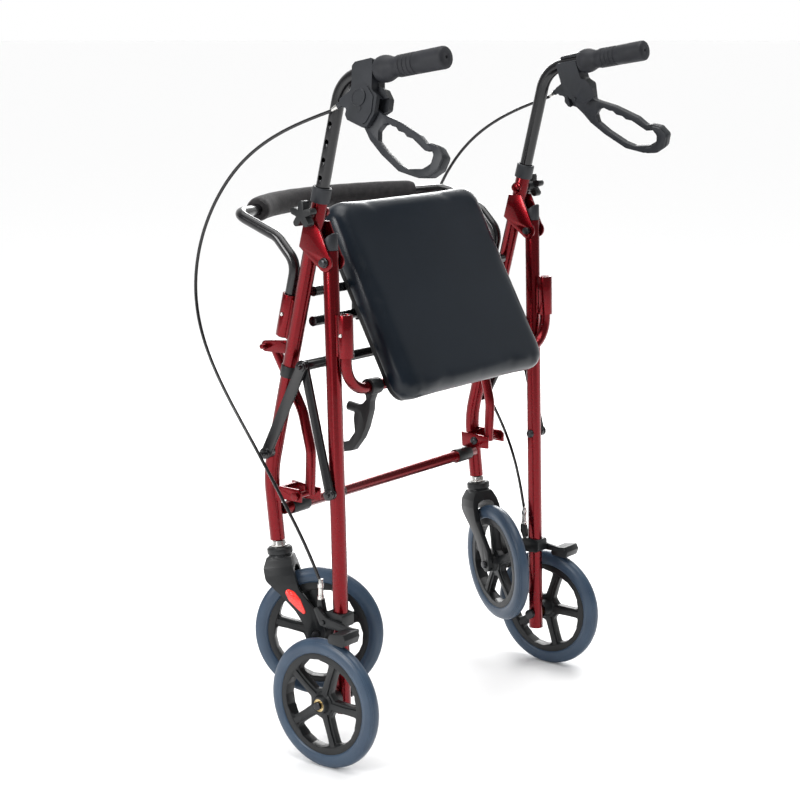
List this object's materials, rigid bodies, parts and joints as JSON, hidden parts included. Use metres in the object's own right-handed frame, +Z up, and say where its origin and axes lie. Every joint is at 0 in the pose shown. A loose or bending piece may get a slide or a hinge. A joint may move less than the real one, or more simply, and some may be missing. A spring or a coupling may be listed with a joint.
{
  "type": "folding rollator walker",
  "caption": "Folding wheeled walker with a padded seat, curved padded backrest, raised hand grips, loop brake levers and swivelling front casters, shown folded with its seat flipped up.",
  "frame": {"origin": "centre of the footprint box, on the plane that the rear wheels stand on", "axes": "+Z up, +Y towards the walker's front (the backrest side), +X towards the user's right"},
  "size_m": [0.611, 0.4838, 1.0158],
  "materials": {
    "frame_red": "candy metallic red lacquer, glossy",
    "tube_black": "gloss black powder coat",
    "plastic_grey": "moulded dark grey plastic, satin",
    "plastic_black": "moulded black plastic, fine texture",
    "tyre_grey": "solid blue-grey soft tyre, matt",
    "steel": "zinc-plated steel, bright",
    "foam": "closed-cell foam, matt",
    "grip_rubber": "soft rubber with ribs",
    "cable_black": "smooth black cable sleeve",
    "seat_vinyl": "padded vinyl, fine grain"
  },
  "bodies": {
    "frame": {"front_leg_left": "frame_red", "support_tube_left": "frame_red", "handle_collar_left": "plastic_grey", "hinge_bolt_left": "steel", "brake_cable_left": "cable_black", "front_leg_right": "frame_red", "support_tube_right": "frame_red", "handle_collar_right": "plastic_grey", "hinge_bolt_right": "steel", "brake_cable_right": "cable_black", "lower_cross_tube": "frame_red", "backrest_bar": "tube_black", "backrest_pad": "foam"},
    "rear_frame": {"rear_leg_left": "frame_red", "rear_leg_cap_left": "plastic_grey", "rear_axle_left": "steel", "brake_bracket_left": "plastic_black", "rear_leg_right": "frame_red", "rear_leg_cap_right": "plastic_grey", "rear_axle_right": "steel", "brake_bracket_right": "plastic_black", "seat_bar": "frame_red"},
    "seat": {"seat_board": "plastic_black", "seat_pad": "seat_vinyl", "seat_rails": "tube_black"},
    "knee_link": {"brace_front_left": "tube_black", "brace_front_right": "tube_black", "knee_cross_bar": "tube_black"},
    "fold_hook": {"fold_hook": "plastic_black"},
    "handle_left": {"handle_tube_left": "tube_black", "grip_left": "grip_rubber", "brake_housing_left": "plastic_grey"},
    "brake_lever_left": {"brake_lever_left": "plastic_black"},
    "clamp_knob_left": {"clamp_knob_left": "plastic_black"},
    "rear_brace_left": {"brace_rear_left": "tube_black"},
    "rear_wheel_left": {"rear_tyre_left": "tyre_grey", "rear_hub_left": "plastic_black"},
    "brake_arm_left": {"brake_arm_left": "plastic_black"},
    "caster_left": {"caster_fork_left": "plastic_black", "caster_axle_left": "steel"},
    "caster_wheel_left": {"caster_tyre_left": "tyre_grey", "caster_hub_left": "plastic_black"},
    "back_button_left": {"back_button_left": "steel"},
    "seat_button_left": {"seat_button_left": "steel"},
    "handle_right": {"handle_tube_right": "tube_black", "grip_right": "grip_rubber", "brake_housing_right": "plastic_grey"},
    "brake_lever_right": {"brake_lever_right": "plastic_black"},
    "clamp_knob_right": {"clamp_knob_right": "plastic_black"},
    "rear_brace_right": {"brace_rear_right": "tube_black"},
    "rear_wheel_right": {"rear_tyre_right": "tyre_grey", "rear_hub_right": "plastic_black"},
    "brake_arm_right": {"brake_arm_right": "plastic_black"},
    "caster_right": {"caster_fork_right": "plastic_black", "caster_axle_right": "steel"},
    "caster_wheel_right": {"caster_tyre_right": "tyre_grey", "caster_hub_right": "plastic_black"},
    "back_button_right": {"back_button_right": "steel"},
    "seat_button_right": {"seat_button_right": "steel"}
  },
  "joints": [
    {"name": "fold", "type": "hinge", "parent": "frame", "child": "rear_frame", "pos_m": [0, -0.0192, 0.72069], "axis": [-1, 0, 0], "range_deg": [0, 36]},
    {"name": "seat_flip", "type": "hinge", "parent": "rear_frame", "child": "seat", "pos_m": [0, -0.0452, 0.54019], "axis": [-1, 0, 0], "range_deg": [0, 32.5]},
    {"name": "knee_front", "type": "hinge", "parent": "frame", "child": "knee_link", "pos_m": [0, 0.0858, 0.43919], "axis": [1, 0, 0], "range_deg": [0, 31.5]},
    {"name": "hook_swing", "type": "hinge", "parent": "rear_frame", "child": "fold_hook", "pos_m": [-0.189, -0.0452, 0.54019], "axis": [-1, 0, 0], "range_deg": [-4, 25]},
    {"name": "handle_slide_left", "type": "slide", "parent": "frame", "child": "handle_left", "axis": [0, -0.2376, 0.9714], "range_m": [-0.1, 0.025]},
    {"name": "lever_left", "type": "hinge", "parent": "handle_left", "child": "brake_lever_left", "pos_m": [-0.25975, -0.09247, 0.93015], "axis": [-0.9695, 0.0409, 0.2417], "range_deg": [0, 15], "stiffness_Nm_per_rad": 1.2},
    {"name": "knob_turn_left", "type": "hinge", "parent": "frame", "child": "clamp_knob_left", "pos_m": [-0.247, 0.0036, 0.78719], "axis": [-1, 0, 0], "continuous": true},
    {"name": "knee_rear_left", "type": "hinge", "parent": "rear_frame", "child": "rear_brace_left", "pos_m": [-0.264, -0.0281, 0.39419], "axis": [-1, 0, 0], "range_deg": [0, 22.5]},
    {"name": "rear_wheel_turn_left", "type": "hinge", "parent": "rear_frame", "child": "rear_wheel_left", "pos_m": [-0.2855, -0.0348, 0.09419], "axis": [-1, 0, 0], "continuous": true},
    {"name": "brake_left", "type": "hinge", "parent": "rear_frame", "child": "brake_arm_left", "pos_m": [-0.247, -0.0167, 0.20519], "axis": [1, 0, 0], "range_deg": [0, 3.2]},
    {"name": "caster_swivel_left", "type": "hinge", "parent": "frame", "child": "caster_left", "pos_m": [-0.247, 0.0823, 0.29519], "axis": [0, 0.1184, 0.993], "range_deg": [-3, 55]},
    {"name": "caster_turn_left", "type": "hinge", "parent": "caster_left", "child": "caster_wheel_left", "pos_m": [-0.224, 0.02759, 0.17281], "axis": [-0.866, -0.4965, 0.0592], "continuous": true},
    {"name": "back_button_left", "type": "slide", "parent": "frame", "child": "back_button_left", "axis": [1, 0, 0], "range_m": [0, 0.0025], "stiffness_N_per_m": 600},
    {"name": "seat_button_left", "type": "slide", "parent": "rear_frame", "child": "seat_button_left", "axis": [1, 0, 0], "range_m": [0, 0.0025], "stiffness_N_per_m": 600},
    {"name": "handle_slide_right", "type": "slide", "parent": "frame", "child": "handle_right", "axis": [0, -0.2376, 0.9714], "range_m": [-0.1, 0.025]},
    {"name": "lever_right", "type": "hinge", "parent": "handle_right", "child": "brake_lever_right", "pos_m": [0.25975, -0.09247, 0.93015], "axis": [-0.9695, -0.0409, -0.2417], "range_deg": [0, 15], "stiffness_Nm_per_rad": 1.2},
    {"name": "knob_turn_right", "type": "hinge", "parent": "frame", "child": "clamp_knob_right", "pos_m": [0.247, 0.0036, 0.78719], "axis": [1, 0, 0], "continuous": true},
    {"name": "knee_rear_right", "type": "hinge", "parent": "rear_frame", "child": "rear_brace_right", "pos_m": [0.264, -0.0281, 0.39419], "axis": [-1, 0, 0], "range_deg": [0, 22.5]},
    {"name": "rear_wheel_turn_right", "type": "hinge", "parent": "rear_frame", "child": "rear_wheel_right", "pos_m": [0.2855, -0.0348, 0.09419], "axis": [-1, 0, 0], "continuous": true},
    {"name": "brake_right", "type": "hinge", "parent": "rear_frame", "child": "brake_arm_right", "pos_m": [0.247, -0.0167, 0.20519], "axis": [1, 0, 0], "range_deg": [0, 3.2]},
    {"name": "caster_swivel_right", "type": "hinge", "parent": "frame", "child": "caster_right", "pos_m": [0.247, 0.0823, 0.29519], "axis": [0, -0.1184, -0.993], "range_deg": [-3, 55]},
    {"name": "caster_turn_right", "type": "hinge", "parent": "caster_right", "child": "caster_wheel_right", "pos_m": [0.22612, 0.02645, 0.17294], "axis": [-0.891, 0.4508, -0.0538], "continuous": true},
    {"name": "back_button_right", "type": "slide", "parent": "frame", "child": "back_button_right", "axis": [-1, 0, 0], "range_m": [0, 0.0025], "stiffness_N_per_m": 600},
    {"name": "seat_button_right", "type": "slide", "parent": "rear_frame", "child": "seat_button_right", "axis": [-1, 0, 0], "range_m": [0, 0.0025], "stiffness_N_per_m": 600}
  ],
  "couplings": [
    {"joint": "seat_flip", "follows": "fold", "ratio": 0.897},
    {"joint": "knee_front", "follows": "fold", "ratio": 0.866},
    {"joint": "knee_rear_left", "follows": "fold", "ratio": 0.615},
    {"joint": "brake_left", "follows": "lever_left", "ratio": 0.21},
    {"joint": "knee_rear_right", "follows": "fold", "ratio": 0.615},
    {"joint": "brake_right", "follows": "lever_right", "ratio": 0.21}
  ]
}
